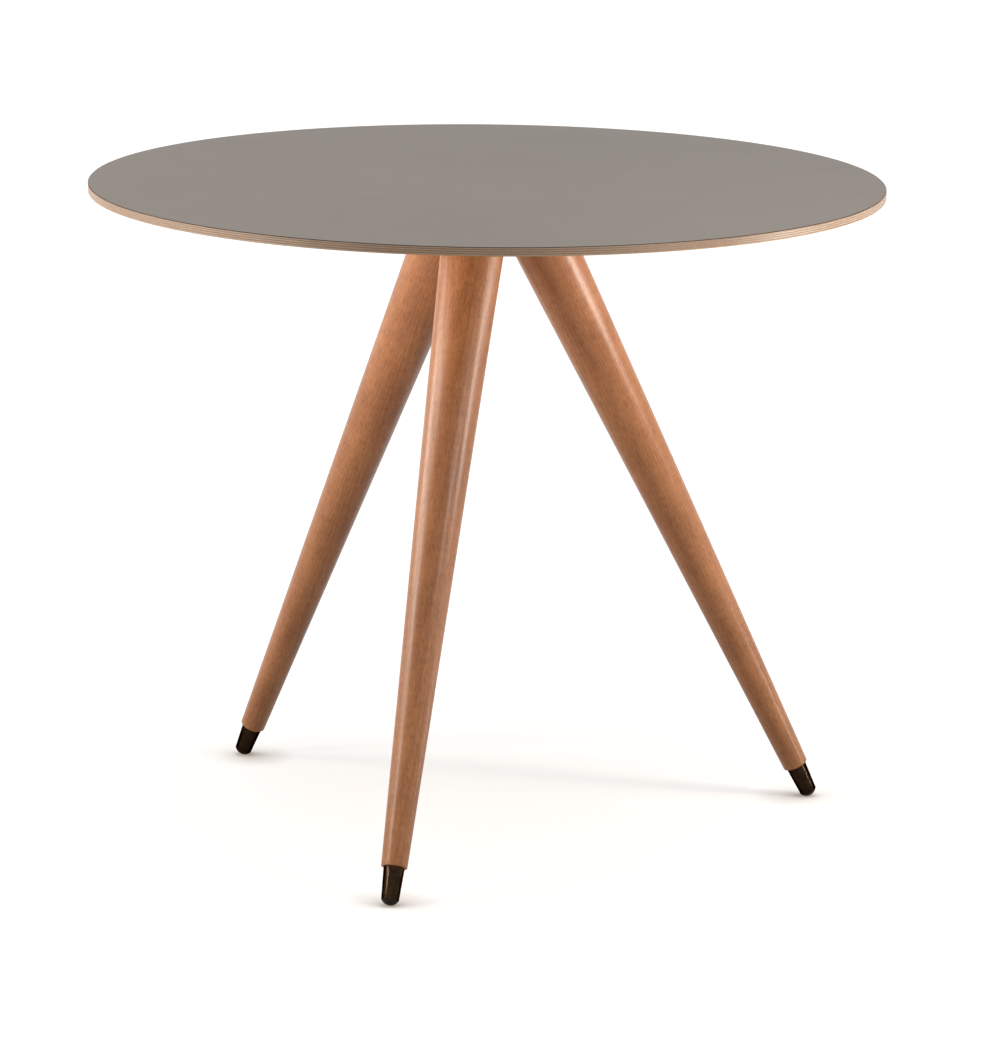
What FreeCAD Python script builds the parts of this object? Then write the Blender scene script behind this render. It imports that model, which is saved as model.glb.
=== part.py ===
import FreeCAD, Part
import math
import os

# Round tea table on three splayed, turned legs.
#
# The top is a thin plywood panel: a grey laminate sheet with a dark core, seven beech plies and a
# backing veneer. A plywood hub disc is screwed under its middle. The heads of the three tapered
# legs are cut level and meet the hub close together. Each is held by two dowels and by one bolt
# that runs down the leg's own axis into a threaded sleeve. Each foot is a spigot that carries a
# bronzed brass ferrule, and a nylon glide with a nail closes the ferrule's end.
#
# Units are millimetres. The origin is on the floor, below the middle of the top, and +Z is up.
# One leg points to the front, along -Y.

# Whole table
TABLE_HEIGHT = 740.0
TOP_DIAMETER = 900.0
LEG_PLACES = ("front", "right", "left")
FRONT_AZIMUTH = -90.0  # degrees from +X

# Top panel, from the upper face down
LAMINATE_THICKNESS = 0.9
PLY_COUNT = 7
PLY_THICKNESS = 1.18
BACKING_THICKNESS = 0.84
TOP_EDGE_BEVEL = 0.6
UNDER_EDGE_BEVEL = 0.5

# Hub disc under the panel: a thick level seat for the legs, a slope and a thin screwed rim
HUB_THICKNESS = 30.0
HUB_SEAT_MARGIN = 12.0
HUB_SLOPE_WIDTH = 36.0
HUB_RIM_WIDTH = 40.0
HUB_RIM_THICKNESS = 12.0
HUB_EDGE_BEVEL = 1.5

# Countersunk wood screws through the hub's rim into the panel
HUB_SCREW_COUNT = 9
HUB_SCREW_DIAMETER = 4.5
HUB_SCREW_HEAD_DIAMETER = 9.0
HUB_SCREW_HEAD_HEIGHT = 2.7
HUB_SCREW_BITE = 6.0
HUB_SCREW_TIP_LENGTH = 3.0
HUB_SCREW_SINK = 0.4
HUB_SCREW_RECESS_WIDTH = 3.6
HUB_SCREW_RECESS_SLOT = 1.1
HUB_SCREW_RECESS_DEPTH = 1.8
HUB_SCREW_TURN_SHARE = 0.5  # of the way from one screw to the next, past the front

# Legs: a straight taper from head to foot, splayed away from the middle
LEG_SPLAY = 26.6  # degrees from upright
LEG_HEAD_DIAMETER = 73.0
LEG_HEAD_GAP = 9.0
LEG_FOOT_DIAMETER = 29.0
LEG_FOOT_BEVEL = 1.1

# Bolt, washer and threaded sleeve on each leg's axis
BOLT_DIAMETER = 10.0
BOLT_HEAD_DIAMETER = 16.0
BOLT_HEAD_HEIGHT = 10.0
BOLT_HEAD_COVER = 1.5
BOLT_HEAD_BEVEL = 0.8
BOLT_SOCKET_WIDTH = 8.0
BOLT_SOCKET_DEPTH = 5.0
BOLT_ENGAGEMENT = 58.0
BOLT_END_ROOM = 4.0
BOLT_TIP_BEVEL = 1.2
WASHER_DIAMETER = 20.0
WASHER_THICKNESS = 2.0
SLEEVE_DIAMETER = 16.0
SLEEVE_LENGTH = 48.0
SLEEVE_RECESS = 1.0
SLEEVE_EDGE_BEVEL = 0.8

# Dowels beside each bolt
DOWEL_DIAMETER = 12.0
DOWEL_LEG_DEPTH = 36.0
DOWEL_HUB_COVER = 5.0
DOWEL_END_ROOM = 1.0
DOWEL_BEVEL = 1.0

# Ferrule, glide and nail at each foot
FERRULE_LENGTH = 36.5
FERRULE_REVEAL = 1.7
FERRULE_FOOT_DIAMETER = 19.6
FERRULE_FOOT_WALL = 1.8
FERRULE_EDGE_BEVEL = 0.4
GLIDE_REVEAL = 0.3
GLIDE_DOME_HEIGHT = 5.5
GLIDE_PLUG_LENGTH = 5.0
NAIL_DIAMETER = 2.4
NAIL_HEAD_DIAMETER = 6.0
NAIL_HEAD_THICKNESS = 1.2
NAIL_LENGTH = 24.0
NAIL_TIP_LENGTH = 4.0

# Clearances
GLUE_GAP = 0.1  # radial room round dowels, spigots, plugs and sleeves
RUNNING_GAP = 0.25  # radial room round bolts, screws and washers
CUT_OVERRUN = 2.0  # how far a cutting tool stands past the face that it opens

Z_AXIS = FreeCAD.Vector(0, 0, 1)
ORIGIN = FreeCAD.Vector(0, 0, 0)


def half(size):
    return size / 2


LEG_COUNT = len(LEG_PLACES)
TURN_TO_NEXT_LEG = 360 / LEG_COUNT

# Levels, from the floor up
SPLAY = math.radians(LEG_SPLAY)
PANEL_THICKNESS = LAMINATE_THICKNESS + PLY_COUNT * PLY_THICKNESS + BACKING_THICKNESS
PANEL_UNDERSIDE = TABLE_HEIGHT - PANEL_THICKNESS
HUB_UNDERSIDE = PANEL_UNDERSIDE - HUB_THICKNESS

# Foot: the glide's dome is part of a ball, and the ball's centre stands its own radius up
GLIDE_RADIUS = half(FERRULE_FOOT_DIAMETER) - GLIDE_REVEAL
DOME_RADIUS = (GLIDE_RADIUS**2 + GLIDE_DOME_HEIGHT**2) / (2 * GLIDE_DOME_HEIGHT)
DOME_CENTRE_LEVEL = DOME_RADIUS

# Places along a leg's axis, counted from the centre of the glide's ball up to the leg's head
FERRULE_START = GLIDE_DOME_HEIGHT - DOME_RADIUS
FERRULE_END = FERRULE_START + FERRULE_LENGTH
GLIDE_PLUG_END = FERRULE_START + GLIDE_PLUG_LENGTH
HEAD_CENTRE = (HUB_UNDERSIDE - DOME_CENTRE_LEVEL) / math.cos(SPLAY)

# Leg heads stand round the middle with LEG_HEAD_GAP between neighbours
HEAD_HALF_LENGTH = half(LEG_HEAD_DIAMETER) / math.cos(SPLAY)
NEIGHBOUR_ANGLE = math.pi / LEG_COUNT
HEAD_HALF_WIDTH = math.hypot(
    HEAD_HALF_LENGTH * math.sin(NEIGHBOUR_ANGLE),
    half(LEG_HEAD_DIAMETER) * math.cos(NEIGHBOUR_ANGLE),
)
HEAD_CIRCLE_RADIUS = (HEAD_HALF_WIDTH + half(LEG_HEAD_GAP)) / math.sin(NEIGHBOUR_ANGLE)
FOOT_CIRCLE_RADIUS = HEAD_CIRCLE_RADIUS + HEAD_CENTRE * math.sin(SPLAY)

# Hub
HUB_SEAT_RADIUS = HEAD_CIRCLE_RADIUS + HEAD_HALF_LENGTH + HUB_SEAT_MARGIN
HUB_SLOPE_END = HUB_SEAT_RADIUS + HUB_SLOPE_WIDTH
HUB_RADIUS = HUB_SLOPE_END + HUB_RIM_WIDTH
HUB_SCREW_CIRCLE_RADIUS = half(HUB_SLOPE_END + HUB_RADIUS)
HUB_RIM_UNDERSIDE = PANEL_UNDERSIDE - HUB_RIM_THICKNESS

# Bolt seat: deep enough for the tilted head to stay BOLT_HEAD_COVER below the panel
BOLT_STACK = BOLT_HEAD_HEIGHT + WASHER_THICKNESS
BOLT_SEAT_DEPTH = (
    BOLT_HEAD_COVER + BOLT_STACK * math.cos(SPLAY) + half(BOLT_HEAD_DIAMETER) * math.sin(SPLAY)
)
BOLT_SEAT = HEAD_CENTRE + (HUB_THICKNESS - BOLT_SEAT_DEPTH) / math.cos(SPLAY)
BOLT_TIP = HEAD_CENTRE - BOLT_ENGAGEMENT
SLEEVE_TOP = HEAD_CENTRE - SLEEVE_RECESS - half(SLEEVE_DIAMETER) * math.tan(SPLAY)
SLEEVE_END = SLEEVE_TOP - SLEEVE_LENGTH

# Dowels
DOWEL_OFFSET = half(half(SLEEVE_DIAMETER) + half(LEG_HEAD_DIAMETER))
DOWEL_SLANT = half(DOWEL_DIAMETER) * math.tan(SPLAY)
DOWEL_HUB_DEPTH = (HUB_THICKNESS - DOWEL_HUB_COVER) / math.cos(SPLAY) - DOWEL_SLANT
DOWEL_BOTTOM = HEAD_CENTRE - DOWEL_LEG_DEPTH
DOWEL_TOP = HEAD_CENTRE + DOWEL_HUB_DEPTH - DOWEL_END_ROOM

# Foot diameters
FERRULE_BORE = FERRULE_FOOT_DIAMETER - 2 * FERRULE_FOOT_WALL
FERRULE_HEAD_DIAMETER = LEG_FOOT_DIAMETER - 2 * (LEG_FOOT_BEVEL + FERRULE_REVEAL)
SPIGOT_DIAMETER = FERRULE_BORE - 2 * GLUE_GAP
NAIL_HEAD_LEVEL = FERRULE_START
NAIL_TIP = NAIL_HEAD_LEVEL + NAIL_LENGTH


def turned(outline):
    """A solid turned about the Z axis from (radius, level) corners, starting and ending on it."""
    corners = [FreeCAD.Vector(radius, 0, level) for radius, level in outline]
    corners.append(corners[0])
    return Part.Face(Part.makePolygon(corners)).revolve(ORIGIN, Z_AXIS, 360)


def rod(diameter, bottom, top):
    return Part.makeCylinder(half(diameter), top - bottom, FreeCAD.Vector(0, 0, bottom))


def hexagon(width, bottom, top):
    """A hexagonal prism, as wide across its flats as a key."""
    corner = half(width) / math.cos(math.pi / 6)
    ring = [
        FreeCAD.Vector(
            corner * math.cos(side * math.pi / 3), corner * math.sin(side * math.pi / 3), bottom
        )
        for side in range(7)
    ]
    return Part.Face(Part.makePolygon(ring)).extrude(FreeCAD.Vector(0, 0, top - bottom))


def slot(length, width, bottom, top):
    corner = FreeCAD.Vector(-half(length), -half(width), bottom)
    return Part.makeBox(length, width, top - bottom, corner)


def cross_recess(length, width, bottom, top):
    """Two crossed slots for a driver's tip."""
    cross = slot(length, width, bottom, top).fuse(slot(width, length, bottom, top))
    return cross.removeSplitter()


def on_axis(shape, leg):
    """Takes a shape from its place along a leg's axis to its place on that leg."""
    placed = shape.copy()
    placed.rotate(ORIGIN, FreeCAD.Vector(0, 1, 0), -LEG_SPLAY)
    placed.translate(FreeCAD.Vector(FOOT_CIRCLE_RADIUS, 0, DOME_CENTRE_LEVEL))
    placed.rotate(ORIGIN, Z_AXIS, FRONT_AZIMUTH + leg * TURN_TO_NEXT_LEG)
    return placed


def round_the_hub(shape):
    """Copies of an upright shape on the circle of the hub's screws."""
    copies = []
    turn_to_next = 360 / HUB_SCREW_COUNT
    for place in range(HUB_SCREW_COUNT):
        copy = shape.copy()
        copy.translate(FreeCAD.Vector(HUB_SCREW_CIRCLE_RADIUS, 0, 0))
        copy.rotate(ORIGIN, Z_AXIS, FRONT_AZIMUTH + (place + HUB_SCREW_TURN_SHARE) * turn_to_next)
        copies.append(copy)
    return copies


def beside_the_bolt(shape):
    """The pair of dowel places, one each side of the leg's axis."""
    pair = []
    for side in (-1, 1):
        copy = shape.copy()
        copy.translate(FreeCAD.Vector(0, side * DOWEL_OFFSET, 0))
        pair.append(copy)
    return pair


def leg_radius(place):
    """The leg's radius at a place along its axis."""
    share = (place - FERRULE_END) / (HEAD_CENTRE - FERRULE_END)
    return half(LEG_FOOT_DIAMETER) + share * half(LEG_HEAD_DIAMETER - LEG_FOOT_DIAMETER)


# Screws, and the holes that they need


def hub_screw():
    """A countersunk wood screw, driven upwards from the hub's rim."""
    head_level = HUB_RIM_UNDERSIDE + HUB_SCREW_SINK
    neck_level = head_level + HUB_SCREW_HEAD_HEIGHT
    tip_level = PANEL_UNDERSIDE + HUB_SCREW_BITE
    shank = half(HUB_SCREW_DIAMETER)
    body = turned(
        [
            (0, head_level),
            (half(HUB_SCREW_HEAD_DIAMETER), head_level),
            (shank, neck_level),
            (shank, tip_level - HUB_SCREW_TIP_LENGTH),
            (0, tip_level),
        ]
    )
    recess = cross_recess(
        HUB_SCREW_RECESS_WIDTH,
        HUB_SCREW_RECESS_SLOT,
        head_level - CUT_OVERRUN,
        head_level + HUB_SCREW_RECESS_DEPTH,
    )
    return body.cut(recess)


def hub_screw_hole():
    head_level = HUB_RIM_UNDERSIDE + HUB_SCREW_SINK
    neck_level = head_level + HUB_SCREW_HEAD_HEIGHT
    mouth = half(HUB_SCREW_HEAD_DIAMETER) + RUNNING_GAP
    shank = half(HUB_SCREW_DIAMETER) + RUNNING_GAP
    tip_level = PANEL_UNDERSIDE + HUB_SCREW_BITE
    return turned(
        [
            (0, HUB_RIM_UNDERSIDE - CUT_OVERRUN),
            (mouth, HUB_RIM_UNDERSIDE - CUT_OVERRUN),
            (mouth, head_level),
            (shank, neck_level),
            (shank, tip_level - HUB_SCREW_TIP_LENGTH + RUNNING_GAP),
            (0, tip_level + RUNNING_GAP),
        ]
    )


# Top panel


def disc(bottom, thickness, top_bevel, bottom_bevel):
    radius = half(TOP_DIAMETER)
    top = bottom + thickness
    outline = [(0, bottom), (radius - bottom_bevel, bottom)]
    if bottom_bevel:
        outline.append((radius, bottom + bottom_bevel))
    if top_bevel:
        outline.append((radius, top - top_bevel))
    outline += [(radius - top_bevel, top), (0, top)]
    return turned(outline)


def panel_layers():
    """The panel's sheets by name, from the laminate down, with the screws' blind holes."""
    level = TABLE_HEIGHT - LAMINATE_THICKNESS
    layers = {"top_laminate": disc(level, LAMINATE_THICKNESS, TOP_EDGE_BEVEL, 0)}
    for ply in range(PLY_COUNT):
        level -= PLY_THICKNESS
        layers[f"core_ply_{ply + 1}"] = disc(level, PLY_THICKNESS, 0, 0)
    level -= BACKING_THICKNESS
    layers["backing_veneer"] = disc(level, BACKING_THICKNESS, 0, UNDER_EDGE_BEVEL)
    holes = Part.makeCompound(round_the_hub(hub_screw_hole()))
    hole_top = holes.BoundBox.ZMax
    return {
        name: sheet.cut(holes) if sheet.BoundBox.ZMin < hole_top else sheet
        for name, sheet in layers.items()
    }


# Hub disc


def bolt_passage():
    """The stepped hole on a leg's axis: room for head and washer, then for the bolt."""
    counterbore = half(WASHER_DIAMETER) + RUNNING_GAP
    bore = half(BOLT_DIAMETER) + RUNNING_GAP
    top = HEAD_CENTRE + (HUB_THICKNESS + WASHER_DIAMETER) / math.cos(SPLAY)
    bottom = HEAD_CENTRE - WASHER_DIAMETER
    return turned(
        [
            (0, bottom),
            (bore, bottom),
            (bore, BOLT_SEAT),
            (counterbore, BOLT_SEAT),
            (counterbore, top),
            (0, top),
        ]
    )


def dowel_hole():
    return rod(
        DOWEL_DIAMETER + 2 * GLUE_GAP,
        DOWEL_BOTTOM - DOWEL_END_ROOM,
        HEAD_CENTRE + DOWEL_HUB_DEPTH,
    )


def hub_disc():
    seat = HUB_UNDERSIDE
    rim = HUB_RIM_UNDERSIDE
    top = PANEL_UNDERSIDE
    body = turned(
        [
            (0, seat),
            (HUB_SEAT_RADIUS, seat),
            (HUB_SLOPE_END, rim),
            (HUB_RADIUS - HUB_EDGE_BEVEL, rim),
            (HUB_RADIUS, rim + HUB_EDGE_BEVEL),
            (HUB_RADIUS, top),
            (0, top),
        ]
    )
    tools = round_the_hub(hub_screw_hole())
    for leg in range(LEG_COUNT):
        tools.append(on_axis(bolt_passage(), leg))
        tools += [on_axis(hole, leg) for hole in beside_the_bolt(dowel_hole())]
    return body.cut(tools)


# Legs and what holds them


def leg_wood():
    """A leg on its axis, with its spigot, and its head still longer than the level cut."""
    beyond = HEAD_CENTRE + LEG_HEAD_DIAMETER
    foot = half(LEG_FOOT_DIAMETER)
    spigot = half(SPIGOT_DIAMETER)
    body = turned(
        [
            (0, GLIDE_PLUG_END),
            (spigot, GLIDE_PLUG_END),
            (spigot, FERRULE_END),
            (foot - LEG_FOOT_BEVEL, FERRULE_END),
            (leg_radius(FERRULE_END + LEG_FOOT_BEVEL), FERRULE_END + LEG_FOOT_BEVEL),
            (leg_radius(beyond), beyond),
            (0, beyond),
        ]
    )
    sleeve_bore = rod(SLEEVE_DIAMETER + 2 * GLUE_GAP, SLEEVE_END, beyond + CUT_OVERRUN)
    bolt_end_bore = rod(
        BOLT_DIAMETER + 2 * RUNNING_GAP, BOLT_TIP - BOLT_END_ROOM, beyond + CUT_OVERRUN
    )
    nail_bore = nail(RUNNING_GAP)
    return body.cut([sleeve_bore, bolt_end_bore, nail_bore] + beside_the_bolt(dowel_hole()))


def leg(number):
    """The leg in its place, with its head cut level under the hub."""
    reach = FOOT_CIRCLE_RADIUS + LEG_HEAD_DIAMETER
    above = Part.makeCylinder(reach, TABLE_HEIGHT, FreeCAD.Vector(0, 0, HUB_UNDERSIDE))
    return on_axis(leg_wood(), number).cut(above)


def leg_bolt():
    """A socket-head bolt, seated on its washer, pointing down the leg's axis."""
    head_bottom = BOLT_SEAT + WASHER_THICKNESS
    head_top = head_bottom + BOLT_HEAD_HEIGHT
    head = half(BOLT_HEAD_DIAMETER)
    shank = half(BOLT_DIAMETER)
    body = turned(
        [
            (0, BOLT_TIP),
            (shank - BOLT_TIP_BEVEL, BOLT_TIP),
            (shank, BOLT_TIP + BOLT_TIP_BEVEL),
            (shank, head_bottom),
            (head, head_bottom),
            (head, head_top - BOLT_HEAD_BEVEL),
            (head - BOLT_HEAD_BEVEL, head_top),
            (0, head_top),
        ]
    )
    socket = hexagon(BOLT_SOCKET_WIDTH, head_top - BOLT_SOCKET_DEPTH, head_top + CUT_OVERRUN)
    return body.cut(socket)


def bolt_washer():
    top = BOLT_SEAT + WASHER_THICKNESS
    hole = rod(BOLT_DIAMETER + 2 * RUNNING_GAP, BOLT_SEAT - CUT_OVERRUN, top + CUT_OVERRUN)
    return rod(WASHER_DIAMETER, BOLT_SEAT, top).cut(hole)


def leg_sleeve():
    """The threaded sleeve that the bolt screws into."""
    outer = half(SLEEVE_DIAMETER)
    inner = half(BOLT_DIAMETER) + GLUE_GAP
    bevel = SLEEVE_EDGE_BEVEL
    ring = [
        (inner, SLEEVE_END),
        (outer - bevel, SLEEVE_END),
        (outer, SLEEVE_END + bevel),
        (outer, SLEEVE_TOP - bevel),
        (outer - bevel, SLEEVE_TOP),
        (inner, SLEEVE_TOP),
    ]
    return turned(ring)


def dowel():
    radius = half(DOWEL_DIAMETER)
    bevel = DOWEL_BEVEL
    return turned(
        [
            (0, DOWEL_BOTTOM),
            (radius - bevel, DOWEL_BOTTOM),
            (radius, DOWEL_BOTTOM + bevel),
            (radius, DOWEL_TOP - bevel),
            (radius - bevel, DOWEL_TOP),
            (0, DOWEL_TOP),
        ]
    )


# Feet


def ferrule():
    """The tapered brass tube over the leg's spigot."""
    head = half(FERRULE_HEAD_DIAMETER)
    foot = half(FERRULE_FOOT_DIAMETER)
    bore = half(FERRULE_BORE)
    bevel = FERRULE_EDGE_BEVEL
    return turned(
        [
            (bore, FERRULE_START),
            (foot - bevel, FERRULE_START),
            (foot, FERRULE_START + bevel),
            (head, FERRULE_END),
            (bore, FERRULE_END),
        ]
    )


def nail(room=0.0):
    """The glide's nail, or with some room round it the hole that it needs."""
    shank = half(NAIL_DIAMETER) + room
    head = half(NAIL_HEAD_DIAMETER) + room
    head_bottom = NAIL_HEAD_LEVEL - room
    head_top = NAIL_HEAD_LEVEL + NAIL_HEAD_THICKNESS + room
    return turned(
        [
            (0, head_bottom),
            (head, head_bottom),
            (head, head_top),
            (shank, head_top),
            (shank, NAIL_TIP - NAIL_TIP_LENGTH + room),
            (0, NAIL_TIP + room),
        ]
    )


def glide():
    """The nylon foot: a plug inside the ferrule and a dome below it, moulded round the nail."""
    plug = half(FERRULE_BORE) - GLUE_GAP
    rim = FreeCAD.Vector(GLIDE_RADIUS, 0, FERRULE_START)
    bottom = FreeCAD.Vector(0, 0, -DOME_RADIUS)
    halfway = half(math.atan2(GLIDE_RADIUS, -FERRULE_START))
    between = FreeCAD.Vector(DOME_RADIUS * math.sin(halfway), 0, -DOME_RADIUS * math.cos(halfway))
    dome = Part.Arc(bottom, between, rim).toShape()
    rest = Part.makePolygon(
        [
            rim,
            FreeCAD.Vector(plug, 0, FERRULE_START),
            FreeCAD.Vector(plug, 0, GLIDE_PLUG_END),
            FreeCAD.Vector(0, 0, GLIDE_PLUG_END),
            bottom,
        ]
    )
    body = Part.Face(Part.Wire([dome] + rest.Edges)).revolve(ORIGIN, Z_AXIS, 360)
    return body.cut(nail(GLUE_GAP))


# Assembly


def on_every_leg(shapes):
    """One node's group of separate solids, repeated on each leg."""
    placed = [on_axis(shape, number) for number in range(LEG_COUNT) for shape in shapes]
    return Part.makeCompound(placed)


def table_parts():
    parts = panel_layers()
    parts["hub_disc"] = hub_disc()
    parts["hub_screws"] = Part.makeCompound(round_the_hub(hub_screw()))
    parts["leg_bolts"] = on_every_leg([leg_bolt()])
    parts["bolt_washers"] = on_every_leg([bolt_washer()])
    parts["leg_sleeves"] = on_every_leg([leg_sleeve()])
    parts["leg_dowels"] = on_every_leg(beside_the_bolt(dowel()))
    parts["glide_nails"] = on_every_leg([nail()])
    for number, place in enumerate(LEG_PLACES):
        parts[f"leg_{place}"] = leg(number)
        parts[f"ferrule_{place}"] = on_axis(ferrule(), number)
        parts[f"glide_{place}"] = on_axis(glide(), number)
    return parts


os.makedirs("parts", exist_ok=True)
for name, shape in table_parts().items():
    shape.exportStep(f"parts/{name}.step")
    print(f"{name}: {len(shape.Solids)} solids, valid {shape.isValid()}, {shape.Volume:.0f} mm3")
print(f"foot circle radius {FOOT_CIRCLE_RADIUS:.1f}, head circle radius {HEAD_CIRCLE_RADIUS:.1f}")
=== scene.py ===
# %% [markdown]
# A round tea table: a thin laminated plywood top on three straight, tapered beech legs, which
# splay from a hub under its middle out to bronzed brass feet.
#
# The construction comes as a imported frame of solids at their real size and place, in metres. It
# is loaded first, and nothing here moves it. A finer piece stands exactly where the solid was
# that it replaces, and the solids that stay only get a finish.

# %% Load the construction
import math

import bmesh
import bpy
from mathutils import Matrix, Vector


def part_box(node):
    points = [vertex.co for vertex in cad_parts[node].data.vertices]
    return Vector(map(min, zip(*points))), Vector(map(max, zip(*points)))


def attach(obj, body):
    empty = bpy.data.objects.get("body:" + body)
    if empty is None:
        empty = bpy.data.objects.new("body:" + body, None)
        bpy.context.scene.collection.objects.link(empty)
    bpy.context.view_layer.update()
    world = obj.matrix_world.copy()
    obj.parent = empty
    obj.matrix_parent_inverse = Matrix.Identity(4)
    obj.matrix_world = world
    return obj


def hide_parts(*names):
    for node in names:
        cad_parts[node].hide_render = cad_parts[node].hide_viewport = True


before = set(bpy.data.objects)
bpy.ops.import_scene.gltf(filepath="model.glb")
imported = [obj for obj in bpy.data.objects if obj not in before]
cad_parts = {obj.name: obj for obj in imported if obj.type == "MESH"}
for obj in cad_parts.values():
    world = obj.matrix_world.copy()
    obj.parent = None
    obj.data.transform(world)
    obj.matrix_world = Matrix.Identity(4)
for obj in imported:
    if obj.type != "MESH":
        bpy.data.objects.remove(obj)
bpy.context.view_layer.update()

# %% [markdown]
# Every size below is either read from the frame or is one of the few sizes that the solids were
# made from. Reading the frame keeps the dressed pieces in place when the construction changes.

# %% Sizes that the frame gives
MM = 0.001


def reach(node):
    """How far a solid's points lie from the upright axis through the middle of the table."""
    return max(math.hypot(point.co.x, point.co.y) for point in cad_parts[node].data.vertices)


TOP_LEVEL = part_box("top_laminate")[1].z
PANEL_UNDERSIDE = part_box("backing_veneer")[0].z
TOP_RADIUS = reach("top_laminate")
HUB_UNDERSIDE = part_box("hub_disc")[0].z
LAMINATE_THICKNESS = TOP_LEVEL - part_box("top_laminate")[0].z
PLY_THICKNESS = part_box("core_ply_1")[1].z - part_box("core_ply_1")[0].z
BACKING_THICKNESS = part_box("backing_veneer")[1].z - PANEL_UNDERSIDE
print(f"top {2 * TOP_RADIUS:.3f} m across and {TOP_LEVEL:.3f} m high, ply {PLY_THICKNESS:.5f} m")

# %% [markdown]
# The view is that of a product photograph: a long lens from far off, a little above the top. Such
# a lens shows the far side of the table almost as large as the near side, as a drawing does. The
# camera stands a little to the right of the front leg and looks down by twelve degrees. Its turn,
# tilt and roll are in radians, and the lens and its sensor in millimetres.

# %% Camera
CAMERA_AZIMUTH = math.radians(14.24)
CAMERA_DISTANCE = 6.6956
CAMERA_HEIGHT = 1.7797
CAMERA_TURN = 0.00278
CAMERA_TILT = -0.21151
CAMERA_ROLL = 0.01109
LENS_LENGTH = 204.84
SENSOR_WIDTH = 36.0


def new_object(name, data):
    """A new object in the scene."""
    made = bpy.data.objects.new(name, data)
    bpy.context.scene.collection.objects.link(made)
    return made


def make_camera():
    lens = bpy.data.cameras.new("camera")
    lens.lens = LENS_LENGTH
    lens.sensor_width = SENSOR_WIDTH
    camera = new_object("camera", lens)
    round_the_table = Matrix.Rotation(CAMERA_AZIMUTH - CAMERA_TURN, 4, "Z")
    upright = Matrix.Rotation(math.pi / 2 + CAMERA_TILT, 4, "X")
    rolled = Matrix.Rotation(CAMERA_ROLL, 4, "Z")
    sideways = CAMERA_DISTANCE * math.sin(CAMERA_AZIMUTH)
    forwards = -CAMERA_DISTANCE * math.cos(CAMERA_AZIMUTH)
    place = Matrix.Translation((sideways, forwards, CAMERA_HEIGHT))
    camera.matrix_world = place @ round_the_table @ upright @ rolled
    bpy.context.scene.camera = camera
    return camera


camera = make_camera()
bpy.context.scene.view_settings.view_transform = "Standard"
print("camera at", tuple(round(x, 3) for x in camera.location))

# %% [markdown]
# Finishes and shapes are both built from nodes. A sum of nodes is hard to read when each node is
# made by hand, so one small class wraps a socket and takes the usual signs: 1 - mask then adds a
# Math node by itself. Every other node comes from one method that takes its type, its settings
# and what its sockets get.

# %% Nodes written as sums


class Wire:
    """An output socket that can stand in a sum."""

    def __init__(self, desk, socket):
        self.desk = desk
        self.socket = socket

    def out(self, name):
        """Another output of the same node."""
        return Wire(self.desk, self.socket.node.outputs[name])

    def __add__(self, other):
        return self.desk.sum("ADD", self, other)

    def __radd__(self, other):
        return self.desk.sum("ADD", other, self)

    def __sub__(self, other):
        return self.desk.sum("SUBTRACT", self, other)

    def __rsub__(self, other):
        return self.desk.sum("SUBTRACT", other, self)

    def __mul__(self, other):
        return self.desk.sum("MULTIPLY", self, other)

    def __rmul__(self, other):
        return self.desk.sum("MULTIPLY", other, self)

    def __truediv__(self, other):
        return self.desk.sum("DIVIDE", self, other)

    def __rtruediv__(self, other):
        return self.desk.sum("DIVIDE", other, self)

    def __pow__(self, other):
        return self.desk.sum("POWER", self, other)


class Desk:
    """A node tree to work on."""

    def __init__(self, tree):
        self.tree = tree

    def add(self, kind, settings=None, sockets=None, output=0):
        """A new node: its settings first, then a value or a wire for each socket named."""
        node = self.tree.nodes.new(kind)
        for name, value in (settings or {}).items():
            setattr(node, name, value)
        for name, value in (sockets or {}).items():
            self.lead(value, node.inputs[name])
        return Wire(self, node.outputs[output]) if node.outputs else node

    def lead(self, value, socket):
        if isinstance(value, Wire):
            self.tree.links.new(value.socket, socket)
        else:
            socket.default_value = value

    def sum(self, operation, *values):
        return self.add("ShaderNodeMath", {"operation": operation}, dict(enumerate(values)))


def joined(desk, **parts):
    """A place put together from its X, Y and Z."""
    return desk.add("ShaderNodeCombineXYZ", {}, parts)


def split(desk, place):
    """A place taken apart: its outputs are called X, Y and Z."""
    return desk.add("ShaderNodeSeparateXYZ", {}, {"Vector": place})


# %% [markdown]
# Every shape comes from a geometry tree that is built here and has a named input for each size of
# its piece. A tree is run once, and the plain mesh that it makes is kept.

# %% Trees with named inputs


def tree_with_inputs(name, values):
    """A geometry tree with a named input for each value: a size, a count or the finish."""
    tree = bpy.data.node_groups.new(name, "GeometryNodeTree")
    for label, value in values.items():
        kind = "Int" if isinstance(value, int) else "Float"
        kind = "Material" if isinstance(value, bpy.types.Material) else kind
        tree.interface.new_socket(label, in_out="INPUT", socket_type="NodeSocket" + kind)
    tree.interface.new_socket("Geometry", in_out="OUTPUT", socket_type="NodeSocketGeometry")
    desk = Desk(tree)
    given = desk.add("NodeGroupInput")
    return desk, {label: given.out(label) for label in values}


def pick(desk, kind, choices):
    """The choice with the number of the point that asks."""
    node = desk.tree.nodes.new("GeometryNodeIndexSwitch")
    node.data_type = kind
    while len(node.index_switch_items) < len(choices):
        node.index_switch_items.new()
    desk.lead(desk.add("GeometryNodeInputIndex"), node.inputs["Index"])
    for number, choice in enumerate(choices):
        desk.lead(choice, node.inputs[str(number)])
    return Wire(desk, node.outputs[0])


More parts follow.
